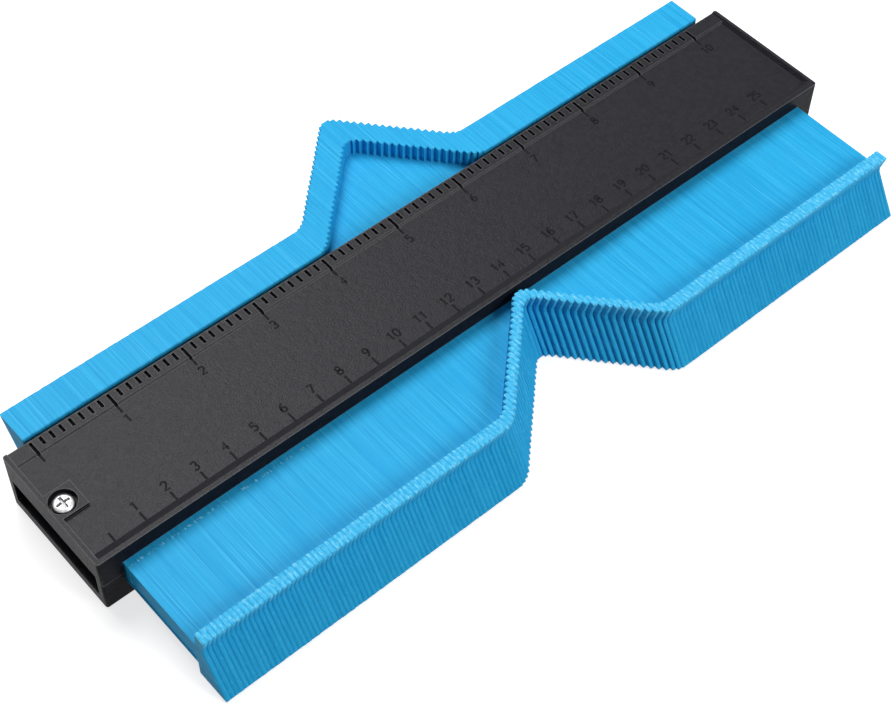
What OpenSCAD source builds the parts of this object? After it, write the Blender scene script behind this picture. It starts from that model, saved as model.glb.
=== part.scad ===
// Contour gauge: a slotted two-part case that holds a pack of thin sliding leaves.
// Lengths are in millimetres. X runs along the case, Y along the leaves' travel, Z is up.
// The origin lies on the table, under the middle of the case.

/* [Leaves] */
// Thickness of one leaf
leaf_t = 1.44; // [1:0.01:3]
// Leaves that slide together as one group
group_leaves = 4; // [1:1:8]
// Number of groups in the pack
group_count = 44; // [12:1:50]
// Height of the web that runs through the case
web_h = 9.5; // [6:0.5:11]
// Clear length between the two heads of a leaf
head_gap = 78.4; // [60:0.1:110]
// Width of a head across its lip
lip_w = 4.5; // [3.5:0.1:8]
// Width of a head at the neck under its lip
neck_w = 2.9; // [2:0.1:3.5]
// Width of a head across its broad foot
foot_w = 11.6; // [8:0.1:16]
// Height from the neck to the lip's flat end
lip_h = 6.1; // [3:0.1:8]
// Depth of the hollow moulded into a leaf's left flank
hollow_depth = 0.3; // [0.1:0.05:0.6]
// Width of the rim left round that hollow
hollow_rim = 0.7; // [0.4:0.1:2]

/* [Case] */
// Width of the case, across the leaves' slots
case_w = 45; // [36:0.5:56]
// Height of the case, which the leaf heads nearly share
case_h = 21.5; // [19:0.5:26]
// Length of case beyond the leaf pack, at each end
end_len = 7.2; // [6.7:0.1:12]
// Radius of the upright corners
corner_r = 0.8; // [0.4:0.1:2]
// Thickness of the long side walls
wall_t = 2.6; // [1.6:0.1:4]
// Thickness of the plate under the scale panel
plate_t = 2; // [1.2:0.1:2.2]
// Thickness of the inner wall that closes the leaf pack
pack_wall_t = 1.2; // [0.8:0.1:1.8]
// Height of solid end above the end pocket, beside the screw head
tall_end_h = 8.5; // [6:0.1:9.5]
// Height of solid end at the screw's other half
low_end_h = 3.5; // [3.2:0.1:5]

/* [Scale panel] */
// Depth of the scale panel below its rim
panel_depth = 1; // [0.4:0.1:1.4]
// Rim of the panel beside the screw head
head_rim = 1.5; // [1:0.1:3]
// Flat rim of the panel at the other end
tail_rim = 0.9; // [0.6:0.1:3]
// Flat rim along the centimetre edge
near_rim = 1.5; // [1:0.1:3]
// Width of the sloped side along that rim
near_slope = 2.5; // [1:0.1:3]
// Width of the sloped side along the rim at the other end
rim_slope = 1.6; // [0.6:0.1:3]
// Width of the raised strip along the inch edge
inch_strip_w = 4.7; // [4:0.1:7]
// Height of that strip above the panel, and width of its sloped side
strip_rise = 0.5; // [0.2:0.1:0.8]
// Distance from the case's end to the zero of the scales
scale_zero = 8.4; // [7:0.1:12]
// Shortest distance from the last notch to the other end
scale_margin = 12; // [6:0.1:20]
// Pitch of the notches, an eighth of an inch
notch_pitch = 3.175; // [2.5:0.005:6.35]
// Notches to an inch
notches_per_inch = 8; // [2:1:16]
// Width of a notch
notch_w = 1; // [0.5:0.1:1.6]
// Length of a notch
notch_len = 3; // [1.5:0.1:3.2]
// Depth of a notch
notch_depth = 1; // [0.4:0.1:1.1]
// Distance from the case's edge to a notch
notch_edge = 0.5; // [0.3:0.1:0.8]

/* [Screws] */
// Distance from the case's end to a screw's axis
screw_inset = 4.6; // [4.4:0.1:4.8]
// Diameter of a screw's shank
screw_d = 3; // [2:0.1:3.2]
// Length of a screw's shank
screw_len = 14; // [11:0.5:14.5]
// Diameter of a screw's head
head_d = 6.5; // [5:0.1:7]
// Height of a screw's head
head_h = 1.8; // [1.2:0.1:1.9]
// Height of the head's upright edge, below its dome
head_edge = 0.9; // [0.3:0.1:1.1]
// Length of the cross recess in a screw's head
cross_len = 3.6; // [2:0.1:4.5]
// Width of the cross recess
cross_w = 0.9; // [0.5:0.1:1.2]
// Depth of the cross recess
cross_depth = 1; // [0.4:0.1:1.4]
// Diameter of the counterbore round a screw's head
counterbore_d = 8.2; // [7.4:0.1:8.6]
// Depth of the counterbore
counterbore_depth = 2; // [1.9:0.1:2.2]
// Diameter of the pillar round a screw's shank
pillar_d = 4.6; // [4.2:0.1:5]
// Width of the raised square round the counterbore
boss_w = 9.5; // [9:0.1:12]
// Reach of that square from the case's end
boss_reach = 9.9; // [9.2:0.1:12]

/* [Friction strips] */
// Width of a friction strip
friction_w = 24; // [10:0.5:28]
// Thickness of the ribs that hold a strip in place
rib_t = 1.2; // [0.8:0.1:2]

/* [Copied corner] */
// Where the copied corner begins to push the leaves in
corner_from = -25.4; // [-70:0.1:-15]
// Where it stops pushing them in
corner_to = 35.7; // [25:0.1:70]
// Slope of the corner's left side, in degrees
left_slope = 44.1; // [20:0.1:60]
// Slope of the corner's right side, in degrees
right_slope = 48.9; // [20:0.1:60]
// Depth over which the corner's two sides blend into its rounded tip
tip_blend = 6.7; // [0.5:0.1:12]
// Height over which each side rounds off into the straight edge
foot_blend = 3; // [0.5:0.1:6]
// Travel that leaves at rest have left before they meet the case
rest_margin = 1.45; // [0.4:0.05:6]

/* [Fits] */
// Play between two neighbouring leaves
leaf_play = 0.05; // [0.03:0.01:0.1]
// Play between the webs and the case, above and below
slot_play = 0.3; // [0.2:0.05:0.5]
// Play between the leaf pack and each inner end wall
pack_play = 0.2; // [0.1:0.05:0.5]
// Play between the webs and the friction strips
friction_play = 0.1; // [0.05:0.05:0.2]
// Play beside the friction strips, between their ribs
strip_play = 0.1; // [0.05:0.05:0.3]
// Play round the screw shanks
screw_play = 0.1; // [0.05:0.05:0.2]
// Height by which the leaf heads stay clear of the table, and below the top
head_play = 0.4; // [0.2:0.05:1]
// Free depth under the screws' tips
tip_play = 0.5; // [0.2:0.1:1]

/* [Hidden] */
$fn = 48;
overcut = 1;
case_colour = [0.16, 0.16, 0.17];
leaf_colour = [0.16, 0.62, 0.88];
steel_colour = [0.75, 0.75, 0.74];
felt_colour = [0.3, 0.3, 0.32];

mid_z = case_h / 2;
head_top = mid_z - head_play;
leaf_pitch = leaf_t + leaf_play;
leaf_count = group_leaves * group_count;
pack_len = leaf_count * leaf_pitch;
room_len = pack_len + 2 * pack_play;
case_len = room_len + 2 * end_len;
inner_w = case_w - 2 * wall_t;
rest_reach = (head_gap - case_w) / 2 - rest_margin;

panel_z = case_h - panel_depth;
strip_z = panel_z + strip_rise;
ceiling_z = panel_z - plate_t;
web_top = mid_z + web_h / 2;
slot_top = web_top + slot_play;
seat_z = case_h - counterbore_depth;
screw_x = -case_len / 2 + screw_inset;
dome_r = (pow(head_d / 2, 2) + pow(head_h - head_edge, 2)) / (2 * (head_h - head_edge));
core_depth = screw_len - (seat_z - mid_z) + tip_play;
notch_count = floor((case_len - scale_zero - scale_margin) / notch_pitch) + 1;

// How far along X leaf n of the pack stands
function leaf_x(n) = (n + 0.5 - leaf_count / 2) * leaf_pitch;

// The lesser of two heights, rounded off where they differ by less than the blend
function blended_min(a, b, blend) = min(a, b) - pow(max(blend - abs(a - b), 0), 2) / (4 * blend);

// Height of the copied corner at x, between its two sides
function corner_height(x) = blended_min(
    (x - corner_from) * tan(left_slope),
    (corner_to - x) * tan(right_slope),
    tip_blend);

// How far the corner has pushed in the leaf at x, from none up to the full reach
function pushed(x) = min(2 * rest_reach, -blended_min(0, -corner_height(x), foot_blend));

function group_name(g) = str("leaf_group_", g < 9 ? "0" : "", g + 1);

// Turns a piece of the upper half over to its twin in the lower half
module turned_over() {
    translate([0, 0, mid_z]) rotate([0, 180, 0]) translate([0, 0, -mid_z]) children();
}

// Extrudes an outline drawn in Y and Z along X
module along_x(length) {
    rotate([90, 0, 90]) linear_extrude(length, center = true) children();
}

// Extrudes an outline drawn in X and Z along Y
module along_y(length) {
    rotate([90, 0, 0]) linear_extrude(length, center = true) children();
}

// A box from low corner to high corner
module block(low, high) {
    translate(low) cube(high - low);
}

module rounded_rectangle(length, width, r) {
    square([length - 2 * r, width], center = true);
    square([length, width - 2 * r], center = true);
    for (x = [-1, 1], y = [-1, 1])
        translate([x * (length / 2 - r), y * (width / 2 - r)]) circle(r);
}

// One leaf seen from its flank: a web between two heads that are half a turn apart
module leaf_outline() {
    inner = head_gap / 2;
    near_head = [
        [-inner, web_h / 2],
        [-inner, head_top],
        [-inner - lip_w, head_top],
        [-inner - neck_w, head_top - lip_h],
        [-inner - foot_w, -head_top],
        [-inner, -head_top],
        [-inner, -web_h / 2],
    ];
    polygon(concat(near_head, -near_head));
}

module leaf() {
    difference() {
        along_x(leaf_t) leaf_outline();
        translate([-leaf_t / 2, 0, 0])
            cube([2 * hollow_depth, head_gap - 2 * hollow_rim, web_h - 2 * hollow_rim], center = true);
    }
}

module leaf_group(g) {
    color(leaf_colour)
        for (n = [g * group_leaves : (g + 1) * group_leaves - 1])
            translate([leaf_x(n), pushed(leaf_x(n)) - rest_reach, mid_z]) leaf();
}

// Room for the leaf webs, open at both long sides
module leaf_slot() {
    block([-room_len / 2, -case_w / 2 - overcut, mid_z - overcut],
          [room_len / 2, case_w / 2 + overcut, slot_top]);
}

// Channels under the plate: one for the friction strip, and one beyond each of its ribs
module plate_channels() {
    strip_half = friction_w / 2 + strip_play;
    block([-room_len / 2, -strip_half, mid_z], [room_len / 2, strip_half, ceiling_z]);
    for (side = [0, 1])
        mirror([0, side, 0])
            block([-room_len / 2, strip_half + rib_t, mid_z], [room_len / 2, inner_w / 2, ceiling_z]);
}

// Pocket in the case's left end, under a solid end of the given height, round the screw's pillar
module end_pocket(solid_h) {
    difference() {
        block([-case_len / 2 - overcut, -inner_w / 2, mid_z - overcut],
              [-room_len / 2 - pack_wall_t, inner_w / 2, case_h - solid_h]);
        translate([screw_x, 0, 0]) cylinder(d = pillar_d, h = case_h);
    }
}

// Scale panel, sunk with sloped sides, between three rims, the inch strip and the raised square
module panel_recess() {
    near = -case_w / 2 + near_rim;
    far = case_w / 2 - inch_strip_w;
    edge = case_w / 2 + overcut;
    head = -case_len / 2 + head_rim;
    tail = case_len / 2 - tail_rim;
    top = case_h + overcut;
    difference() {
        intersection() {
            along_x(case_len)
                polygon([
                    [near, top], [near, case_h], [near + near_slope, panel_z],
                    [far - strip_rise, panel_z], [far, strip_z], [edge, strip_z], [edge, top],
                ]);
            along_y(2 * case_w)
                polygon([[head, top], [head, panel_z], [tail - rim_slope, panel_z], [tail, case_h], [tail, top]]);
        }
        block([-case_len / 2, -boss_w / 2, 0], [-case_len / 2 + boss_reach, boss_w / 2, case_h]);
    }
}

// Notches of the inch scale; every whole inch runs through the strip to the panel
module inch_notches() {
    outer = case_w / 2 - notch_edge;
    for (i = [0 : notch_count - 1]) {
        whole_inch = i % notches_per_inch == 0;
        inner = whole_inch ? case_w / 2 - inch_strip_w - rim_slope / 2 : outer - notch_len;
        x = -case_len / 2 + scale_zero + i * notch_pitch;
        block([x - notch_w / 2, inner, strip_z - notch_depth], [x + notch_w / 2, outer, case_h]);
    }
}

// Through hole and counterbore at the head's end, blind core hole at the other end
module screw_holes() {
    hole_d = screw_d + 2 * screw_play;
    translate([screw_x, 0, 0]) cylinder(d = hole_d, h = case_h);
    translate([screw_x, 0, seat_z]) cylinder(d = counterbore_d, h = counterbore_depth + overcut);
    translate([-screw_x, 0, mid_z - overcut]) cylinder(d = hole_d, h = core_depth + overcut);
}

// One moulding serves as both halves: this is the upper one
module case_half() {
    color(case_colour)
        difference() {
            translate([0, 0, mid_z])
                linear_extrude(case_h - mid_z) rounded_rectangle(case_len, case_w, corner_r);
            leaf_slot();
            plate_channels();
            end_pocket(tall_end_h);
            mirror([1, 0, 0]) end_pocket(low_end_h);
            panel_recess();
            inch_notches();
            screw_holes();
        }
}

module friction_strip() {
    color(felt_colour)
        block([-pack_len / 2, -friction_w / 2, web_top + friction_play],
              [pack_len / 2, friction_w / 2, ceiling_z]);
}

module pan_head() {
    intersection() {
        cylinder(d = head_d, h = head_h);
        translate([0, 0, head_h - dome_r]) sphere(dome_r);
    }
}

// Pan-head screw with a cross recess, seated in the upper half's counterbore
module case_screw() {
    color(steel_colour)
        translate([screw_x, 0, seat_z])
            difference() {
                union() {
                    pan_head();
                    translate([0, 0, -screw_len]) cylinder(d = screw_d, h = screw_len);
                }
                for (turn = [0, 90])
                    rotate(turn)
                        translate([0, 0, head_h])
                            cube([cross_len, cross_w, 2 * cross_depth], center = true);
            }
}

case_half();  // upper_case
turned_over() case_half();  // lower_case
friction_strip();  // upper_friction_strip
turned_over() friction_strip();  // lower_friction_strip
case_screw();  // left_screw
turned_over() case_screw();  // right_screw
for (g = [0 : group_count - 1])
    leaf_group(g);
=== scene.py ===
# %% [markdown]
# # A contour gauge, dressed for its portrait
# A contour gauge copies the outline of an edge: a black ruler case grips a pack of thin blue leaves, and
# every leaf slides back as far as the workpiece pushes it. The solids arrive as a fixed frame in metres.
# Each cell below turns one part of the gauge into a finished surface, and every size is taken from that
# frame or named where it is used.

import bpy
import numpy as np
from mathutils import Matrix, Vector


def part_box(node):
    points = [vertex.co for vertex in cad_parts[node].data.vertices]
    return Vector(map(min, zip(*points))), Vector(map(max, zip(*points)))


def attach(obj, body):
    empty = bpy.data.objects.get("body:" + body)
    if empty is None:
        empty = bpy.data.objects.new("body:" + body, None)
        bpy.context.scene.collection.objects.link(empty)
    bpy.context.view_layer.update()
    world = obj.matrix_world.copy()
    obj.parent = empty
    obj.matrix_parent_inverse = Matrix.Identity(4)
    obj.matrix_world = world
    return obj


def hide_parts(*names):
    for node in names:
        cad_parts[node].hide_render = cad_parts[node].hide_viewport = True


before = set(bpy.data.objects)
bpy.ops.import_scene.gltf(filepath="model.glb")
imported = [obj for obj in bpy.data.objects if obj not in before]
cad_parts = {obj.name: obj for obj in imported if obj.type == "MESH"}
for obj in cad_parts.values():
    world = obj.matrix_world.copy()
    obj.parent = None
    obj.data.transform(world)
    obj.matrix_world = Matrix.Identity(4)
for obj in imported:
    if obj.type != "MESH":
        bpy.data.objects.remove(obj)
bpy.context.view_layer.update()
MM = 0.001
scene = bpy.context.scene


# %% Size of the case
def box_mm(node):
    """Lowest and highest corner of a solid, in millimetres."""
    low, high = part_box(node)
    return np.array(low) / MM, np.array(high) / MM


case_low, case_high = box_mm("upper_case")
case_height = case_high[2]
middle_z = case_height / 2
print("case, mm:", np.round(case_high[:2] - case_low[:2], 2), "and", round(case_height, 2), "high")

# %% [markdown]
# ## Camera
# The ruler on the case is a gift: its centimetre and inch marks say where the camera stood. Solving for
# the camera that puts those marks on their places in the picture gave a position, a view direction and a
# focal length in pixels. Blender wants the focal length in millimetres of a 36 mm wide sensor, so the
# pixels are scaled by 36 over the width.

# %% Camera at the photograph's angle
IMAGE_WIDTH = 894
FOCAL_PIXELS = 1859.7
SENSOR_MM = 36.0
CLIP_START = 0.01
CAMERA_AT = np.array([-239.12, -266.97, 438.42])
CAMERA_FORWARD = np.array([0.40989, 0.45324, -0.79156])
CAMERA_UP = np.array([0.51169, 0.60414, 0.61089])

camera_data = bpy.data.cameras.new("camera")
camera_data.sensor_fit = "HORIZONTAL"
camera_data.sensor_width = SENSOR_MM
camera_data.lens = FOCAL_PIXELS * SENSOR_MM / IMAGE_WIDTH
camera_data.clip_start = CLIP_START
camera = bpy.data.objects.new("camera", camera_data)
camera_right = np.cross(CAMERA_FORWARD, CAMERA_UP)
camera_axes = np.column_stack([camera_right, CAMERA_UP, -CAMERA_FORWARD])
camera_pose = np.eye(4)
camera_pose[:3, :3] = camera_axes / np.linalg.norm(camera_axes, axis=0)
camera_pose[:3, 3] = CAMERA_AT * MM
camera.matrix_world = Matrix(camera_pose.tolist())
scene.collection.objects.link(camera)
scene.camera = camera
print("camera: lens", round(camera_data.lens, 2), "mm")

# %% [markdown]
# ## Studio
# The gauge lies on a white table under soft light. A picture of a studio could light it too, but it would
# need a file, so two area lights do the work. One softbox hangs above and behind the gauge, so the tops
# are bright and the near faces fall darker, and a second one fills from the front and the right.

# %% Softboxes
scene.view_settings.view_transform = "Standard"


def softbox(name, towards, distance, size, watts):
    """A square area light that looks at the gauge from the given direction."""
    light = bpy.data.lights.new(name, "AREA")
    light.shape = "SQUARE"
    light.size = size
    light.energy = watts
    lamp = bpy.data.objects.new(name, light)
    away = np.array(towards) / np.linalg.norm(towards)
    lamp.location = away * distance
    side = np.cross([0, 0, 1], away)
    side /= np.linalg.norm(side)
    axes = np.column_stack([side, np.cross(away, side), away])
    lamp.rotation_euler = Matrix(axes.tolist()).to_euler()
    scene.collection.objects.link(lamp)
    print(name, "with", watts, "W at", distance, "m")


softbox("key_softbox", towards=(0.06, 0.48, 0.87), distance=1.1, size=0.6, watts=10.0)
softbox("fill_softbox", towards=(0.34, -0.75, 0.58), distance=1.5, size=0.6, watts=12.5)

# %% [markdown]
# ## White room and table
# The room is white where the camera, a mirror or glass looks at it, but dim where it only lights a
# surface, so a colour renders about as it is written. A Light Path node tells the two cases apart. The
# table adds a little white of its own in the same way, so the background goes white while the contact
# shadow stays.


# %% White room
def wire(tree, source, target):
    """Joins an output socket to an input socket."""
    tree.links.new(source, target)


def maths(tree, operation, *values):
    """A Math node on sockets and numbers, and its output."""
    node = tree.nodes.new("ShaderNodeMath")
    node.operation = operation
    for socket, value in zip(node.inputs, values):
        if isinstance(value, (int, float)):
            socket.default_value = value
        else:
            wire(tree, value, socket)
    return node.outputs[0]


def spread(tree, value, low, high, start=0.0, stop=1.0):
    """Carries a value from the span start to stop over to the span low to high, held at both ends."""
    node = tree.nodes.new("ShaderNodeMapRange")
    node.inputs["From Min"].default_value = start
    node.inputs["From Max"].default_value = stop
    node.inputs["To Min"].default_value = low
    node.inputs["To Max"].default_value = high
    wire(tree, value, node.inputs["Value"])
    return node.outputs["Result"]


def seen_directly(tree):
    """One for rays from the camera, a mirror or glass, and zero for the rays that light a surface."""
    path = tree.nodes.new("ShaderNodeLightPath").outputs
    mirrored = maths(tree, "MAXIMUM", path["Is Camera Ray"], path["Is Glossy Ray"])
    return maths(tree, "MAXIMUM", mirrored, path["Is Transmission Ray"])


AMBIENT = 0.15
world = bpy.data.worlds.new("white_room")
scene.world = world
world.use_nodes = True
room = world.node_tree
background = room.nodes["Background"]
background.inputs["Color"].default_value = (1.0, 1.0, 1.0, 1.0)
wire(room, spread(room, seen_directly(room), AMBIENT, 1.0), background.inputs["Strength"])
print("white room: ambient light", AMBIENT)

# %% White table
TABLE_SIZE = 12.0
TABLE_WHITE = 0.5
TABLE_GLOW = 0.72
table_material = bpy.data.materials.new("white_table")
table_material.use_nodes = True
tree = table_material.node_tree
tree.nodes.clear()
output = tree.nodes.new("ShaderNodeOutputMaterial")
paint = tree.nodes.new("ShaderNodeBsdfDiffuse")
paint.inputs["Color"].default_value = (TABLE_WHITE, TABLE_WHITE, TABLE_WHITE, 1.0)
glow = tree.nodes.new("ShaderNodeEmission")
wire(tree, maths(tree, "MULTIPLY", seen_directly(tree), TABLE_GLOW), glow.inputs["Strength"])
both = tree.nodes.new("ShaderNodeAddShader")
wire(tree, paint.outputs[0], both.inputs[0])
wire(tree, glow.outputs[0], both.inputs[1])
wire(tree, both.outputs[0], output.inputs["Surface"])

half = TABLE_SIZE / 2
table_corners = [(-half, -half, 0), (half, -half, 0), (half, half, 0), (-half, half, 0)]
table_mesh = bpy.data.meshes.new("table")
table_mesh.from_pydata(table_corners, [], [(0, 1, 2, 3)])
table_mesh.materials.append(table_material)
table = bpy.data.objects.new("table", table_mesh)
scene.collection.objects.link(table)
print("table:", TABLE_SIZE, "m wide")

# %% [markdown]
# ## Making a piece
# Every new piece takes the same last steps: an array of points in millimetres and a list of faces become
# a mesh, the mesh gets its material, and the object rides on the body that carries it. The object stays
# at the origin and its place is in the mesh, so a pattern on Object coordinates keeps its size in
# millimetres.


# %% Piece helper
def make_piece(name, points, faces, material, body):
    """A mesh object from points in millimetres, riding on a body."""
    mesh = bpy.data.meshes.new(name)
    mesh.from_pydata((np.asarray(points) * MM).tolist(), [], faces)
    mesh.materials.append(material)
    mesh.update()
    piece = bpy.data.objects.new(name, mesh)
    scene.collection.objects.link(piece)
    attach(piece, body)
    return piece


def carry_value(piece, name, values):
    """Gives the mesh one number per point, for its material to read."""
    attribute = piece.data.attributes.new(name, "FLOAT", "POINT")
    attribute.data.foreach_set("value", np.asarray(values, dtype=np.float32))


print("piece helpers: make_piece, carry_value")

# %% [markdown]
# ## Building a finish
# All the finishes come from the same few parts, so those are written once: noise of a known size in
# millimetres, a colour ramp, a mix of two colours and a bump. Two more follow from how moulded plastic
# looks: a shine that depends on which way a face looks, and a mask for the edges, which get a painted
# highlight.


# %% Material helpers
def new_material(name, colour, roughness):
    """A material with one Principled shader, and its tree and shader."""
    material = bpy.data.materials.new(name)
    material.use_nodes = True
    shader = material.node_tree.nodes["Principled BSDF"]
    shader.inputs["Base Color"].default_value = (*colour, 1.0)
    shader.inputs["Roughness"].default_value = roughness
    return material, material.node_tree, shader


def mesh_value(tree, name):
    """The number that the mesh carries at each point under this name."""
    node = tree.nodes.new("ShaderNodeAttribute")
    node.attribute_name = name
    return node.outputs["Fac"]


def object_noise(tree, size_mm, detail=2.0, stretch=(1, 1, 1)):
    """Noise in object coordinates, with features of about the given size, stretched along the axes."""
    place = tree.nodes.new("ShaderNodeTexCoord")
    mapping = tree.nodes.new("ShaderNodeMapping")
    mapping.inputs["Scale"].default_value = [1.0 / (size_mm * MM * s) for s in stretch]
    wire(tree, place.outputs["Object"], mapping.inputs["Vector"])
    noise = tree.nodes.new("ShaderNodeTexNoise")
    noise.inputs["Scale"].default_value = 1.0
    noise.inputs["Detail"].default_value = detail
    wire(tree, mapping.outputs["Vector"], noise.inputs["Vector"])
    return noise.outputs["Fac"]


def ramp(tree, value, stops):
    """A colour ramp through (position, colour) stops."""
    node = tree.nodes.new("ShaderNodeValToRGB")
    elements = node.color_ramp.elements
    while len(elements) < len(stops):
        elements.new(0.5)
    for element, (position, colour) in zip(elements, stops):
        element.position = position
        element.color = (*colour, 1.0)
    wire(tree, value, node.inputs["Fac"])
    return node.outputs["Color"]


def blend(tree, factor, colour, other):
    """A mix of a colour socket with a plain colour, by a factor socket."""
    node = tree.nodes.new("ShaderNodeMix")
    node.data_type = "RGBA"
    wire(tree, factor, node.inputs["Factor"])
    wire(tree, colour, node.inputs[6])
    node.inputs[7].default_value = (*other, 1.0)
    return node.outputs[2]


def bump(tree, shader, height, depth_mm, normal=None):
    """Adds a bump of the given depth to a shader, over an earlier bump if there is one."""
    node = tree.nodes.new("ShaderNodeBump")
    node.inputs["Strength"].default_value = 1.0
    node.inputs["Distance"].default_value = depth_mm * MM
    wire(tree, height, node.inputs["Height"])
    if normal is not None:
        wire(tree, normal, node.inputs["Normal"])
    wire(tree, node.outputs["Normal"], shader.inputs["Normal"])
    return node.outputs["Normal"]


print("material helpers: noise, ramp, blend, bump")

# %% Shine, and a mask for painted edge highlights
BLACK, WHITE = (0, 0, 0), (1, 1, 1)
SIDE_WEIGHT = -1.2
WALL_LEVEL, TOP_LEVEL = 0.3, 0.65
EDGE_SAMPLES = 6
EDGE_STOPS = [(0.88, WHITE), (0.992, BLACK)]


def shine_by_facing(tree, shader, walls, tops):
    """Sets the specular level: tops for faces that look up or down, walls for the sides and the slopes.

    The measure is the upright part of the normal, less a weight times what leans along X or to the back.
    """
    place = tree.nodes.new("ShaderNodeTexCoord")
    facing = tree.nodes.new("ShaderNodeSeparateXYZ")
    wire(tree, place.outputs["Normal"], facing.inputs["Vector"])
    along = maths(tree, "ABSOLUTE", facing.outputs["X"])
    sideways = maths(tree, "ADD", along, maths(tree, "MAXIMUM", facing.outputs["Y"], 0.0))
    upright = maths(tree, "ABSOLUTE", facing.outputs["Z"])
    level = maths(tree, "MULTIPLY_ADD", sideways, SIDE_WEIGHT, upright)
    shader.inputs["Specular IOR Level"].default_value = tops
    shine = spread(tree, level, walls, tops, WALL_LEVEL, TOP_LEVEL)
    wire(tree, shine, shader.inputs["Specular IOR Level"])


def edge_mask(tree, radius_mm):
    """Near 1 on sharp edges and 0 on flat faces: how far a rounded normal leans from the true one."""
    rounded = tree.nodes.new("ShaderNodeBevel")
    rounded.samples = EDGE_SAMPLES
    rounded.inputs["Radius"].default_value = radius_mm * MM
    flat = tree.nodes.new("ShaderNodeNewGeometry")
    agree = tree.nodes.new("ShaderNodeVectorMath")
    agree.operation = "DOT_PRODUCT"
    wire(tree, rounded.outputs["Normal"], agree.inputs[0])
    wire(tree, flat.outputs["True Normal"], agree.inputs[1])
    return ramp(tree, agree.outputs["Value"], EDGE_STOPS)


# The mask marks where the case's edges are painted with a pale painted highlight.
print("edges count as worn from a lean of", round(np.degrees(np.arccos(EDGE_STOPS[1][0])), 1), "degrees")

# %% [markdown]
# ## Blue leaf plastic
# The leaves are moulded in a sky-blue plastic with a satin face. No two leaves are quite alike: each has
# its own slight tone, and sliding past its neighbours has drawn pale lines along it. A painted picture
# could hold all that, but would have to be unwrapped for every leaf. Here the tone comes from a number
# that the mesh carries, one per leaf, and the lines from noise that is stretched along the leaf.

# %% Leaf tones
LEAF_DARK = (0.016, 0.354, 0.695)
LEAF_LIGHT = (0.027, 0.422, 0.770)
LEAF_ROUGHNESS = 0.38
TONE_SHARE = 0.25
TONE_STOPS = [(0.35, LEAF_DARK), (0.85, LEAF_LIGHT)]
leaf_material, tree, shader = new_material("blue_leaf_plastic", LEAF_LIGHT, LEAF_ROUGHNESS)
shine_by_facing(tree, shader, walls=0.04, tops=0.10)
streaks = object_noise(tree, size_mm=0.9, detail=3.0, stretch=(1, 45, 6))
leaf_tone = maths(tree, "MULTIPLY_ADD", mesh_value(tree, "leaf_tone"), TONE_SHARE, streaks)
toned = ramp(tree, leaf_tone, TONE_STOPS)
print("material:", leaf_material.name)

# %% [markdown]
# ## Scratches and painted highlights on the leaves
# A second number on the mesh marks the lip of each head, which is painted a paler blue in patches, a
# painted highlight where the raised lip catches the light. Fine pale scratches run along the webs. Bright
# specks of painted glint sit on the lips and in a short row along the webs near the edge of the case.
# Each of these is a mask between 0 and 1 that mixes a paler blue into the tone.

# %% Scratches, and painted highlights on lips and webs
# The pale blue serves both the real scratches and the painted highlight on the lips; the glint blue is a
# painted highlight.
LEAF_SCRATCH_AND_LIP_HIGHLIGHT = (0.068, 0.512, 0.840)
LEAF_GLINT = (0.20, 0.66, 0.94)
SCRATCH_STOPS = [(0.60, BLACK), (0.70, WHITE)]
LIP_HIGHLIGHT_STOPS = [(0.35, (0.45, 0.45, 0.45)), (0.65, WHITE)]
GLINT_STOPS = [(0.52, BLACK), (0.66, WHITE)]
SCRATCH_SHARE, LIP_GLINT_SHARE = 0.75, 0.8
GLINT_ROW_Y, GLINT_ROW_WIDTH, GLINT_ROW_FROM, GLINT_ROW_TO = -24.4, 0.9, -60.0, -80.0

# Painted highlight: patches of paler blue on every lip, mixed into the same mask as the scratches.
lip = mesh_value(tree, "leaf_lip")
scratches = ramp(tree, object_noise(tree, size_mm=0.28, detail=1.0, stretch=(1, 110, 6)), SCRATCH_STOPS)
lip_highlight_patches = ramp(tree, object_noise(tree, size_mm=0.9), LIP_HIGHLIGHT_STOPS)
painted_lip_highlight = maths(tree, "MULTIPLY", lip, lip_highlight_patches)
pale_and_lit = maths(tree, "MULTIPLY_ADD", scratches, SCRATCH_SHARE, painted_lip_highlight)
pale_and_lit_colour = blend(tree, maths(tree, "MINIMUM", pale_and_lit, 1.0), toned, LEAF_SCRATCH_AND_LIP_HIGHLIGHT)

# A row of painted glints along the webs, near the edge of the case, fading in towards the left end.
place = tree.nodes.new("ShaderNodeTexCoord")
where = tree.nodes.new("ShaderNodeSeparateXYZ")
wire(tree, place.outputs["Object"], where.inputs["Vector"])
from_row = maths(tree, "ABSOLUTE", maths(tree, "SUBTRACT", where.outputs["Y"], GLINT_ROW_Y * MM))
row = maths(tree, "LESS_THAN", from_row, GLINT_ROW_WIDTH / 2 * MM)
row_start = spread(tree, where.outputs["X"], 0.0, 1.0, GLINT_ROW_FROM * MM, GLINT_ROW_TO * MM)
glint_row = maths(tree, "MULTIPLY", row, row_start)

# Painted highlight: bright specks of glint blue on the lips and along that row.
glints = ramp(tree, object_noise(tree, size_mm=0.6, detail=1.0, stretch=(1, 3, 1)), GLINT_STOPS)
lip_glint = maths(tree, "MULTIPLY", lip, LIP_GLINT_SHARE)
painted_glint_mask = maths(tree, "MULTIPLY", maths(tree, "MAXIMUM", lip_glint, glint_row), glints)
wire(tree, blend(tree, painted_glint_mask, pale_and_lit_colour, LEAF_GLINT), shader.inputs["Base Color"])
# The lips and the row carry painted highlights; only the scratches are wear.
print("wear: lips, scratches and a rub row at y", GLINT_ROW_Y, "mm")

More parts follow.
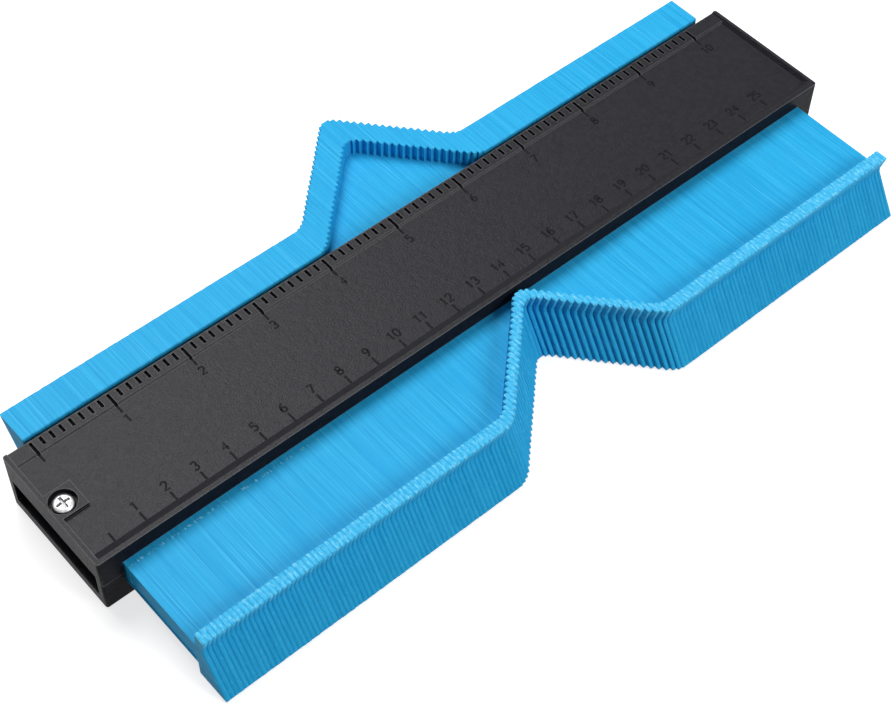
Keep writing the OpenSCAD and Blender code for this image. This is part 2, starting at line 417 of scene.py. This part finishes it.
# %% Satin of the leaves
SATIN_SMOOTH, SATIN_ROUGH = 0.42, 0.56
SATIN_DEPTH = 0.02
sheen_lines = object_noise(tree, size_mm=0.35, detail=2.0, stretch=(1, 40, 4))
wire(tree, spread(tree, sheen_lines, SATIN_SMOOTH, SATIN_ROUGH), shader.inputs["Roughness"])
bump(tree, shader, sheen_lines, SATIN_DEPTH)
print("satin: roughness", SATIN_SMOOTH, "to", SATIN_ROUGH)

# %% [markdown]
# ## The leaves
# Seen from its flank a leaf is a long web between two heads. The near head has a lip on top, a neck below
# it and a front that slopes out to a broad foot; the far head is the same outline turned half a turn. A
# Bevel on the carried-over solids would round them, but there are so many leaves that each has to be a
# small mesh with its faces where they show. So the outline is carried along the leaf's thickness through
# four stations: the two inner ones hold the full outline and the two outer ones a shrunken copy. Every
# front and lip is crowned that way, and the joints between leaves show as grooves. The corner between
# web and head stays sharp, because it stops against the case.

# %% Leaf outline
HEAD_GAP = 78.4
WEB_HEIGHT = 9.5
LIP = 4.5
NECK = 2.9
FOOT = 11.6
LIP_HEIGHT = 6.1
CORNER_CUTS = [0.06, 0.25, 0.4, 0.9, 0.2, 0.25, 0.06]

first_low, first_high = box_mm("leaf_group_01")
head_top = (first_high - first_low)[2] / 2


def eased_outline():
    """The leaf's outline in Y and Z: each corner of the sharp outline is cut back along both its sides."""
    inner, top, web = HEAD_GAP / 2, head_top, WEB_HEIGHT / 2
    head = np.array([
        [-inner, web], [-inner, top], [-inner - LIP, top], [-inner - NECK, top - LIP_HEIGHT],
        [-inner - FOOT, -top], [-inner, -top], [-inner, -web],
    ])
    corners = np.concatenate([head, -head])
    cut = np.array(CORNER_CUTS * 2)[:, None]

    def unit(v):
        return v / np.linalg.norm(v, axis=1, keepdims=True)

    to_last = unit(np.roll(corners, 1, axis=0) - corners)
    to_next = unit(np.roll(corners, -1, axis=0) - corners)
    return np.stack([corners + cut * to_last, corners + cut * to_next], axis=1).reshape(-1, 2)


outline = eased_outline()
outline_count = len(outline)
print("leaf outline:", outline_count, "points, length", round(np.ptp(outline[:, 0]), 1), "mm")

# %% Crowned edges
EDGE_INSET, LIP_INSET, FRONT_INSET, FOOT_INSET = 0.014, 0.20, 0.30, 0.20


def shrunken(outline, inset):
    """The outline moved inwards: each point goes along the mean of its two edges' inner normals."""
    edge = np.roll(outline, -1, axis=0) - outline
    edge /= np.linalg.norm(edge, axis=1, keepdims=True)
    inward = np.stack([-edge[:, 1], edge[:, 0]], axis=1)
    mean = inward + np.roll(inward, 1, axis=0)
    return outline + inset[:, None] * mean / np.sum(mean * inward, axis=1, keepdims=True)


front_insets = [LIP_INSET] * 4 + [FRONT_INSET] * 2 + [FOOT_INSET]
head_insets = [EDGE_INSET] * 2 + front_insets + [EDGE_INSET] * 5
inner_outline = shrunken(outline, np.array(head_insets * 2))
on_lip = np.array(([0] * 2 + [1] * 4 + [0] * 8) * 2)
print("crowned edges: up to", max(head_insets), "mm,", on_lip.sum(), "outline points on the lips")

# %% [markdown]
# ## Where each leaf stands
# The solids already know how far every leaf was pushed, so nothing is worked out twice. A group's solid
# holds four leaves side by side. Its points are sorted by the leaf that they lie nearest to, and the
# middle of their extent along Y is that leaf's place.

# %% Places of the leaves
GROUP_LEAVES = 4
group_names = sorted(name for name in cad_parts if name.startswith("leaf_group_"))
leaf_pitch = (box_mm(group_names[1])[0][0] - first_low[0]) / GROUP_LEAVES
leaf_thickness = (first_high - first_low)[0] - (GROUP_LEAVES - 1) * leaf_pitch


def leaf_places(node):
    """Centres in X and Y of a group's leaves, from the extent in Y of the solid's points near each leaf."""
    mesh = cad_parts[node].data
    flat = np.empty(len(mesh.vertices) * 3, dtype=np.float32)
    mesh.vertices.foreach_get("co", flat)
    points = flat.reshape(-1, 3) / MM
    centres = box_mm(node)[0][0] + leaf_thickness / 2 + leaf_pitch * np.arange(GROUP_LEAVES)
    near = np.abs(points[None, :, 0] - centres[:, None]) < leaf_pitch / 2
    low = np.where(near, points[:, 1], np.inf).min(axis=1)
    high = np.where(near, points[:, 1], -np.inf).max(axis=1)
    return centres, (low + high) / 2


print("leaves:", GROUP_LEAVES * len(group_names), "at a pitch of", round(leaf_pitch, 3), "mm")
print("thickness:", round(leaf_thickness, 3), "mm")

# %% Leaf faces
STATIONS = 4


def leaf_faces():
    """Faces of one leaf: quads between the four stations, then the flanks, the left one with its hollow."""
    n = outline_count
    j = np.arange(n)
    rings = np.arange(STATIONS - 1)[:, None] * n
    following = (j + 1) % n
    sides = np.stack([rings + j, rings + following, rings + n + following, rings + n + j], axis=-1)
    faces = sides.reshape(-1, 4).tolist()
    head = n // 2
    near, far = list(range(head)), list(range(head, n))
    web = [0, head - 1, head, n - 1]
    last = (STATIONS - 1) * n
    faces += [near[::-1], far[::-1]]
    faces += [[last + i for i in part] for part in (near, far, web)]
    rim = [STATIONS * n + i for i in range(4)]
    floor = [STATIONS * n + 4 + i for i in range(4)]
    for ring, inside in ((web, rim), (rim, floor)):
        for i in range(4):
            k = (i + 1) % 4
            faces.append([ring[k], ring[i], inside[i], inside[k]])
    faces.append(floor[::-1])
    return faces


one_leaf = leaf_faces()
HOLLOW_POINTS = 8
leaf_point_count = STATIONS * outline_count + HOLLOW_POINTS
print("one leaf:", leaf_point_count, "points,", len(one_leaf), "faces")

# %% Leaf points
HOLLOW_RIM = 0.7
HOLLOW_DEPTH = 0.3
SNUG = 0.03
EASE = 0.42


def leaf_points(x, y, lowered, raised):
    """Points of leaves at x and y: the outline at four stations along X, then the hollow's rim and floor.

    lowered and raised take each leaf's upper edges down and its lower edges up, by a hair.
    """
    half = (leaf_thickness + SNUG) / 2
    stations = np.array([-half, -half + EASE, half - EASE, half])
    yz = np.stack([inner_outline, outline, outline, inner_outline])
    across = np.broadcast_to(stations[:, None, None], (*yz.shape[:2], 1))
    shell = np.concatenate([across, yz], axis=2).reshape(-1, 3)
    reach, rise = HEAD_GAP / 2 - HOLLOW_RIM, WEB_HEIGHT / 2 - HOLLOW_RIM
    corners = np.array([[-reach, rise], [-reach, -rise], [reach, -rise], [reach, rise]])
    depths = np.array([-half, -half + HOLLOW_DEPTH])
    hollow = np.concatenate([np.repeat(depths, 4)[:, None], np.tile(corners, (2, 1))], axis=1)
    points = np.repeat(np.concatenate([shell, hollow])[None], len(x), axis=0)
    upper = points[:, :, 2] > 0
    points[:, :, 2] += np.where(upper, -lowered[:, None], raised[:, None]) + middle_z
    points[:, :, 0] += x[:, None]
    points[:, :, 1] += y[:, None]
    return points


print("crowns start", EASE, "mm from each flank, and the hollow is", HOLLOW_DEPTH, "mm deep")

# %% [markdown]
# ## Four leaves to a group
# Real leaves never line up like the teeth of a machine-cut comb. Each one here is pushed a little loose
# in its place, stands a hair lower or higher, and has its own tone. The draws come from one seeded
# generator, so every run makes the same gauge.

# %% Leaf groups
LEAF_SEED = 11
LOOSE = 0.10
UNEVEN = 0.05
rng = np.random.default_rng(LEAF_SEED)


def leaf_group(node):
    """Dresses one sliding group: four leaves, each a little off its neighbours in place and tone."""
    x, y = leaf_places(node)
    loose = rng.uniform(0, LOOSE, GROUP_LEAVES) * -np.sign(y)
    lowered = rng.uniform(0, UNEVEN, GROUP_LEAVES)
    raised = rng.uniform(0, UNEVEN / 2, GROUP_LEAVES)
    tones = rng.uniform(0, 1, GROUP_LEAVES)
    points = leaf_points(x, y + loose, lowered, raised)
    faces = [[i + k * leaf_point_count for i in face] for k in range(GROUP_LEAVES) for face in one_leaf]
    piece = make_piece(node + "_leaves", points.reshape(-1, 3), faces, leaf_material, node)
    carry_value(piece, "leaf_tone", np.repeat(tones, leaf_point_count))
    rubbed = np.concatenate([np.tile(on_lip, STATIONS), np.zeros(HOLLOW_POINTS)])
    carry_value(piece, "leaf_lip", np.tile(rubbed, GROUP_LEAVES))
    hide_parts(node)
    return piece


leaf_pieces = [leaf_group(name) for name in group_names]
print("leaf groups:", len(leaf_pieces), "with", sum(len(p.data.polygons) for p in leaf_pieces), "faces")

# %% [markdown]
# ## Black case plastic
# The case is moulded in black plastic with a fine grain from its mould. Up close the grain is a sandiness
# half a millimetre across, and over it lie broader, softer patches where the plastic flowed. Modelling
# the grain would take millions of faces, so both go into the bump, and the patches also into the
# roughness and the colour, which keeps the panel from looking like flat paint. The flat tops catch more
# light than the walls, and a Bevel node finds the edges, which get a paler tone as a painted highlight.

# %% Case material
CASE_DARK = (0.0074, 0.0075, 0.0106)
CASE_PALE = (0.0114, 0.0115, 0.0158)
# Painted highlight: the pale tone painted on the case's edges.
CASE_EDGE_HIGHLIGHT = (0.105, 0.105, 0.110)
EDGE_HIGHLIGHT_RADIUS = 0.5
WALL_SHINE = 0.03
ROUGHNESS_SPAN = 0.08
PATCH_DEPTH, GRAIN_DEPTH = 0.12, 0.13


def case_plastic(name, dark, pale, edge, roughness, shine):
    """Grained plastic between two tones, with its edges painted in a third, its roughness about the given
    one.
    """
    material, tree, shader = new_material(name, pale, roughness)
    grain = object_noise(tree, size_mm=0.5, detail=3.0)
    patches = object_noise(tree, size_mm=1.8, detail=4.0)
    mottled = ramp(tree, patches, [(0.35, dark), (0.65, pale)])
    # The edges get the third tone; on the case that is a pale painted highlight.
    wire(tree, blend(tree, edge_mask(tree, EDGE_HIGHLIGHT_RADIUS), mottled, edge), shader.inputs["Base Color"])
    shine_by_facing(tree, shader, WALL_SHINE, shine)
    rough = spread(tree, patches, roughness - ROUGHNESS_SPAN, roughness + ROUGHNESS_SPAN)
    wire(tree, rough, shader.inputs["Roughness"])
    flowed = bump(tree, shader, patches, PATCH_DEPTH)
    bump(tree, shader, grain, GRAIN_DEPTH, flowed)
    print("material:", name)
    return material


case_material = case_plastic(
    "black_case_plastic", CASE_DARK, CASE_PALE, CASE_EDGE_HIGHLIGHT, roughness=0.35, shine=0.15
)

# %% [markdown]
# ## Case halves
# The two case halves carry over from the frame, because their solids already have the panel, the notches,
# the end pocket and the raised square. Their edges are razor sharp, though, and a moulding's never are.
# The solid arrives as loose triangles, so a Weld joins them first, and a Bevel then rounds only the edges
# that turn sharply.

# %% Soften the case edges
MOULD_EDGE = 0.28
WELD_GAP = 1e-6
BEVEL_SEGMENTS = 3
SHARP_ANGLE = np.radians(40)


def soften(node, width_mm, material):
    """Welds and bevels a carried-over solid, and gives it a material."""
    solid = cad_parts[node]
    weld = solid.modifiers.new("weld", "WELD")
    weld.merge_threshold = WELD_GAP
    bevel = solid.modifiers.new("bevel", "BEVEL")
    bevel.width = width_mm * MM
    bevel.segments = BEVEL_SEGMENTS
    bevel.limit_method = "ANGLE"
    bevel.angle_limit = SHARP_ANGLE
    bevel.harden_normals = True
    solid.data.materials.clear()
    solid.data.materials.append(material)


for node in ("upper_case", "lower_case"):
    soften(node, MOULD_EDGE, case_material)
print("case halves: edges rounded by", MOULD_EDGE, "mm")

# %% [markdown]
# ## Scale marks and figures
# Along the near edge of the panel stand the centimetre marks, each with its number, and along the far
# edge the inch marks run from the notched strip onto the panel. A font would need a file, so the figures
# are drawn as strokes, the way a plotter draws them: straight runs and parts of ellipses, in a cell one
# unit high.


# %% Strokes of the figures
def bow(cx, cy, rx, ry, start, stop, count=9):
    """Part of an ellipse about (cx, cy), from one angle to another in degrees."""
    a = np.radians(np.linspace(start, stop, count))
    return np.stack([cx + rx * np.cos(a), cy + ry * np.sin(a)], axis=1)


def run(*points):
    """A broken line through the given points."""
    return np.array(points, dtype=float)


def stroke(*parts):
    """Several bows and runs drawn without lifting the pen."""
    return np.concatenate(parts)


FIGURES = {
    "0": [bow(0.3, 0.5, 0.27, 0.5, 90, 450, 17)],
    "1": [run((0.12, 0.78), (0.34, 1.0), (0.34, 0.0))],
    "2": [stroke(bow(0.3, 0.72, 0.27, 0.28, 165, -30), run((0.03, 0.0), (0.58, 0.0)))],
    "3": [stroke(bow(0.28, 0.76, 0.25, 0.24, 150, -80), bow(0.28, 0.27, 0.29, 0.27, 80, -150))],
    "4": [run((0.42, 0.0), (0.42, 1.0), (0.02, 0.3), (0.6, 0.3))],
    "5": [stroke(run((0.54, 1.0), (0.1, 1.0), (0.06, 0.55)), bow(0.28, 0.32, 0.29, 0.32, 120, -150))],
    "6": [stroke(bow(0.52, 0.32, 0.48, 0.68, 95, 180), bow(0.3, 0.28, 0.26, 0.28, 180, 540, 15))],
    "7": [run((0.04, 1.0), (0.57, 1.0), (0.2, 0.0))],
    "8": [bow(0.3, 0.75, 0.22, 0.25, -90, 270, 15), bow(0.3, 0.26, 0.28, 0.26, 90, 450, 15)],
    "9": [stroke(bow(0.3, 0.72, 0.26, 0.28, 0, 360, 15), bow(0.08, 0.68, 0.48, 0.68, 0, -85))],
}
FIGURE_WIDTH = 0.6
FIGURE_STEP = 0.78


def figure_strokes(number, x, y, height):
    """Strokes of a whole number, centred on x, standing on y."""
    digits = str(number)
    width = FIGURE_STEP * (len(digits) - 1) + FIGURE_WIDTH
    starts = np.arange(len(digits)) * FIGURE_STEP - width / 2
    return [
        path * height + np.array([x + start * height, y])
        for digit, start in zip(digits, starts)
        for path in FIGURES[digit]
    ]


print("figures:", len(FIGURES), "with", sum(len(paths) for paths in FIGURES.values()), "strokes")

# %% [markdown]
# ## From strokes to ridges
# The strokes of such a scale stand a little proud of the panel. A curve with a bevel could show that, but
# it would have to be turned into a mesh in the end. So a low section with sloped shoulders is carried
# along every stroke, and its root lies a little below the panel, so no gap shows.

# %% Ridges along the strokes
RIDGE_HEIGHT = 0.09
RIDGE_SHOULDER = 0.02
RIDGE_ROOT = 0.06
SECTION_ACROSS = np.array([-0.5, -0.5, -0.3, 0.3, 0.5, 0.5])
SECTION_UP = np.array([
    -RIDGE_ROOT, RIDGE_SHOULDER, RIDGE_HEIGHT, RIDGE_HEIGHT, RIDGE_SHOULDER, -RIDGE_ROOT,
])
SECTION = len(SECTION_UP)
STILL = 1e-9


def ridge(path, width):
    """Points and faces of a low ridge: a bevelled section carried along a path in the panel's plane."""
    along = np.gradient(path, axis=0)
    along /= np.maximum(np.linalg.norm(along, axis=1, keepdims=True), STILL)
    across = np.stack([-along[:, 1], along[:, 0]], axis=1)
    plane = path[:, None, :] + (SECTION_ACROSS * width)[None, :, None] * across[:, None, :]
    up = np.broadcast_to(SECTION_UP[None, :, None], (len(path), SECTION, 1))
    points = np.concatenate([plane, up], axis=2).reshape(-1, 3)
    i, j = np.meshgrid(np.arange(len(path) - 1) * SECTION, np.arange(SECTION), indexing="ij")
    k = (j + 1) % SECTION
    faces = np.stack([i + j, i + j + SECTION, i + k + SECTION, i + k], axis=-1).reshape(-1, 4).tolist()
    last = (len(path) - 1) * SECTION
    faces += [list(range(SECTION)), list(range(last, last + SECTION))[::-1]]
    return points, faces


def joined(parts):
    """Several sets of points and faces as one."""
    counts = np.cumsum([0] + [len(points) for points, _ in parts])
    points = np.concatenate([points for points, _ in parts])
    faces = [[i + int(first) for i in face] for (_, part), first in zip(parts, counts) for face in part]
    return points, faces


print("ridge:", RIDGE_HEIGHT, "mm high, with", SECTION, "points in its section")

# %% [markdown]
# ## Where the marks stand
# Both scales start at the same place near the left end. Centimetre marks and figures stand on the panel
# along its near border, inch marks along the notched strip. Every eighth of an inch has a notch, and the
# floor of each notch gets a ridge of its own in a dark, dull finish, a painted shade for the shadow inside
# the notch. The zeros have no figure.

# %% Places of the marks
SCALE_ZERO = 8.4
CENTIMETRE, CENTIMETRES = 10.0, 25
INCH, INCHES, EIGHTHS = 25.4, 10, 8
NEAR_BORDER = 4.0
INCH_STRIP = 4.7
TICK_START, TICK_LENGTH, TICK_WIDTH = 0.1, 3.1, 0.65
INCH_TICK_END = 8.0
NOTCH_REACH = 0.8
NOTCH_LENGTH, NOTCH_WIDTH, NOTCH_EDGE = 3.0, 0.92, 0.5
# How far the painted shade on each notch floor stays short of the notch's ends.
NOTCH_SHADE_PLAY = 0.05
STROKE_WIDTH = 0.58
CM_FIGURE, INCH_FIGURE = 2.9, 2.8
FIGURE_GAP = 1.1

zero_x = case_low[0] + SCALE_ZERO
panel_near = case_low[1] + NEAR_BORDER
strip_inner = case_high[1] - INCH_STRIP
inch_end = case_high[1] - INCH_TICK_END


def numbered_mark(number, x, start, stop, foot, height):
    """A mark from start to stop along Y, and the strokes of its number, which the zero goes without."""
    lines = [(run((x, start), (x, stop)), TICK_WIDTH)]
    if number > 0:
        lines += [(path, STROKE_WIDTH) for path in figure_strokes(number, x, foot, height)]
    return lines


strokes = []
for cm in range(CENTIMETRES + 1):
    x = zero_x + cm * CENTIMETRE
    stop = panel_near + TICK_LENGTH
    strokes += numbered_mark(cm, x, panel_near + TICK_START, stop, stop + FIGURE_GAP, CM_FIGURE)
for inch in range(INCHES + 1):
    x = zero_x + inch * INCH
    foot = inch_end - FIGURE_GAP - INCH_FIGURE
    strokes += numbered_mark(inch, x, strip_inner - NOTCH_REACH, inch_end, foot, INCH_FIGURE)
# Painted shade: a dark ridge on the floor of every notch, where the notch lies in shadow.
floors = []
for eighth in range(INCHES * EIGHTHS + 1):
    x = zero_x + eighth * INCH / EIGHTHS
    outer = case_high[1] - NOTCH_EDGE
    inner = strip_inner - NOTCH_REACH if eighth % EIGHTHS == 0 else outer - NOTCH_LENGTH
    floors.append((run((x, inner + NOTCH_SHADE_PLAY), (x, outer - NOTCH_SHADE_PLAY)), NOTCH_WIDTH))
print("marks:", len(strokes), "strokes and", len(floors), "notch floors")

# %% Marks on both halves
PANEL_DEPTH, NOTCH_FLOOR = 1.0, 1.5
MARK_DARK = (0.0062, 0.0062, 0.0078)
MARK_PALE = (0.0115, 0.0116, 0.0145)
mark_tones = (MARK_DARK, MARK_PALE, MARK_DARK)
mark_material = case_plastic("dull_scale_marks", *mark_tones, roughness=0.6, shine=0.09)
# The notch floors' painted shade, in the marks' dark tones with almost no shine.
notch_shade_material = case_plastic("painted_notch_shade", *mark_tones, roughness=0.7, shine=0.02)


def turned_over(points):
    """The same moulding on the other half: half a turn about Y through the middle of the case."""
    return np.stack([-points[:, 0], points[:, 1], case_height - points[:, 2]], axis=1)


for name, lines, depth, material in (
    ("scale_marks", strokes, PANEL_DEPTH, mark_material),
    ("notch_floors", floors, NOTCH_FLOOR, notch_shade_material),
):
    points, faces = joined([ridge(path, width) for path, width in lines])
    points[:, 2] += case_height - depth
    make_piece("upper_" + name, points, faces, material, "case")
    make_piece("lower_" + name, turned_over(points), faces, material, "case")
    print(name, "on both halves:", len(faces), "faces each")

# %% [markdown]
# ## Screws
# Each end has one bright pan-head screw. A lathe and a cutter could make it, but a cut leaves ragged
# faces round the cross. Here the head is a height field over a disc: a low dome with a cross sunk into
# it, whose arms fade out towards their ends. Below it a shank carries a thread, where the radius rises
# and falls with the turn and the depth together. Both are functions of a radius or depth and an angle,
# so one grid makes the screw. A number on the mesh marks the cross, a ring at the rim and the shank,
# where a darker tone is painted on as painted shade.

# %% Screw surface
screw_low, screw_high = box_mm("left_screw")
screw_x, screw_y = (screw_low + screw_high)[:2] / 2
AROUND = 96
SHANK_RADIUS, SHANK_LENGTH, SHANK_RINGS = 1.5, 14.0, 90
HEAD_RADIUS = (screw_high - screw_low)[0] / 2
HEAD_HEIGHT = (screw_high - screw_low)[2] - SHANK_LENGTH
HEAD_EDGE, HEAD_RINGS = 0.8, 30
HEAD_MIDDLE, HEAD_OUTER, DOME_POWER = 0.02, 0.97, 5
CROSS_LENGTH, CROSS_WIDTH, CROSS_DEPTH = 1.95, 0.42, 0.95
CROSS_WALL, CROSS_FADE = 0.16, 0.5
RIM_SHARES, RIM_EASE = np.array([1.0, 1.0, 0.96]), 0.12
# Painted shade: a darker ring towards the rim of the head.
RIM_SHADE, RIM_SHADE_FROM, RIM_SHADE_WIDTH = 0.6, 0.9, 0.07
THREAD_PITCH, THREAD_DEPTH, THREAD_POWER = 1.1, 0.35, 0.7
TIP_LENGTH, TIP_SHARE = 2.0, 0.25


def smooth(edge, width, value):
    """Rises from 0 to 1 as value falls through edge, over the given width."""
    t = np.clip((edge + width / 2 - value) / width, 0, 1)
    return t * t * (3 - 2 * t)


def around(radius, angle, height):
    """Rings of points from a radius, an angle and a height, spread to one grid."""
    return np.stack(np.broadcast_arrays(radius * np.cos(angle), radius * np.sin(angle), height), axis=-1)


def screw_points():
    """Rings of points from the middle of the head, over its rim, down the threaded shank to the tip.

    The dome falls with the fifth power of the radius, and the cross is the product of a step across its
    arm and a slower one along it. The thread's radius follows the angle less the height over the pitch.
    Comes with how much painted shade each point gets: 1 in the cross and below the head, 0 on the open
    plate.
    """
    a = np.linspace(0, 2 * np.pi, AROUND, endpoint=False)[None, :]
    r = np.linspace(HEAD_MIDDLE, HEAD_OUTER, HEAD_RINGS)[:, None] * HEAD_RADIUS
    x, y = np.abs(r * np.cos(a)), np.abs(r * np.sin(a))
    cross = smooth(CROSS_WIDTH, CROSS_WALL, np.minimum(x, y))
    cross = cross * smooth(CROSS_LENGTH, CROSS_FADE, np.maximum(x, y))
    dome = HEAD_HEIGHT - (HEAD_HEIGHT - HEAD_EDGE) * (r / HEAD_RADIUS) ** DOME_POWER
    top = around(r, a, dome - CROSS_DEPTH * cross)
    # Painted shade, darker in a ring towards the rim.
    ring = np.clip((r / HEAD_RADIUS - RIM_SHADE_FROM) / RIM_SHADE_WIDTH, 0, 1)
    rim_z = np.array([HEAD_EDGE - RIM_EASE, RIM_EASE, 0.0])
    rim = around(RIM_SHARES[:, None] * HEAD_RADIUS, a, rim_z[:, None])
    z = -np.linspace(0, SHANK_LENGTH, SHANK_RINGS)[:, None]
    turn = (a / (2 * np.pi) - z / THREAD_PITCH) % 1.0
    taper = np.clip((SHANK_LENGTH + z) / TIP_LENGTH, TIP_SHARE, 1.0)
    radius = (SHANK_RADIUS - THREAD_DEPTH * np.abs(2 * turn - 1) ** THREAD_POWER) * taper
    below = np.concatenate([rim, around(radius, a, z)])
    # How much painted shade each point gets: the cross, the rim ring and all of the shank.
    painted_shade = np.concatenate([np.maximum(cross, RIM_SHADE * ring), np.ones(below.shape[:2])])
    return np.concatenate([top, below]), painted_shade


def tube_faces(rings):
    """Quads between neighbouring rings, and a cap at each end."""
    i, j = np.meshgrid(np.arange(rings - 1) * AROUND, np.arange(AROUND), indexing="ij")
    k = (j + 1) % AROUND
    faces = np.stack([i + j, i + AROUND + j, i + AROUND + k, i + k], axis=-1).reshape(-1, 4).tolist()
    last = (rings - 1) * AROUND
    return faces + [list(range(AROUND)), list(range(last, last + AROUND))[::-1]]


screw_rings, painted_screw_shade = screw_points()
screw_faces = tube_faces(len(screw_rings))
print("screw:", len(screw_rings), "rings of", AROUND, "points")

# %% Screw material
ZINC, ZINC_ROUGHNESS = (0.78, 0.78, 0.77), 0.3
ZINC_STOPS = [(0.3, (0.50, 0.50, 0.50)), (0.7, (0.72, 0.72, 0.72))]
ZINC_SMOOTH, ZINC_ROUGH, ZINC_DEPTH = 0.3, 0.5, 0.03
# Painted shade: the dark tone painted into the cross, the rim and the shank.
SCREW_SHADE = (0.16, 0.16, 0.165)
screw_material, tree, shader = new_material("bright_zinc_plate", ZINC, ZINC_ROUGHNESS)
shader.inputs["Metallic"].default_value = 1.0
clouding = object_noise(tree, size_mm=0.8, detail=3.0)
plate = ramp(tree, clouding, ZINC_STOPS)
# The painted shade darkens the plate wherever the mesh's number says so.
wire(tree, blend(tree, mesh_value(tree, "painted_screw_shade"), plate, SCREW_SHADE), shader.inputs["Base Color"])
wire(tree, spread(tree, clouding, ZINC_SMOOTH, ZINC_ROUGH), shader.inputs["Roughness"])
bump(tree, shader, object_noise(tree, size_mm=0.25), ZINC_DEPTH)
print("material:", screw_material.name)

# %% Screws in their seats
seat = np.array([screw_x, screw_y, screw_high[2] - HEAD_HEIGHT])
left_points = screw_rings.reshape(-1, 3) + seat
for node, points in (("left_screw", left_points), ("right_screw", turned_over(left_points))):
    screw = make_piece(node + "_turned", points, screw_faces, screw_material, "case")
    screw.data.polygons.foreach_set("use_smooth", np.ones(len(screw.data.polygons), dtype=bool))
    carry_value(screw, "painted_screw_shade", painted_screw_shade.ravel())
    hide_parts(node)
print("screws: two, with", len(screw_faces), "faces each")

# %% [markdown]
# ## Friction strips
# Two felt strips hide between the case plates and the leaf webs and keep the leaves where they are put.
# Hair could make real fibres, but only the strips' edges could ever be glimpsed, so the solids stay, in a
# dark felt: a fibrous bump and no shine.

# %% Felt
FELT, FELT_ROUGHNESS = (0.05, 0.05, 0.055), 0.95
FELT_STOPS = [(0.3, (0.03, 0.03, 0.034)), (0.7, (0.08, 0.08, 0.086))]
FELT_DEPTH = 0.15
felt_material, tree, shader = new_material("dark_felt", FELT, FELT_ROUGHNESS)
fibres = object_noise(tree, size_mm=0.4, detail=5.0, stretch=(1, 4, 1))
wire(tree, ramp(tree, fibres, FELT_STOPS), shader.inputs["Base Color"])
bump(tree, shader, fibres, FELT_DEPTH)
for node in ("upper_friction_strip", "lower_friction_strip"):
    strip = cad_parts[node]
    strip.data.materials.clear()
    strip.data.materials.append(felt_material)
print("felt strips dressed in", felt_material.name)
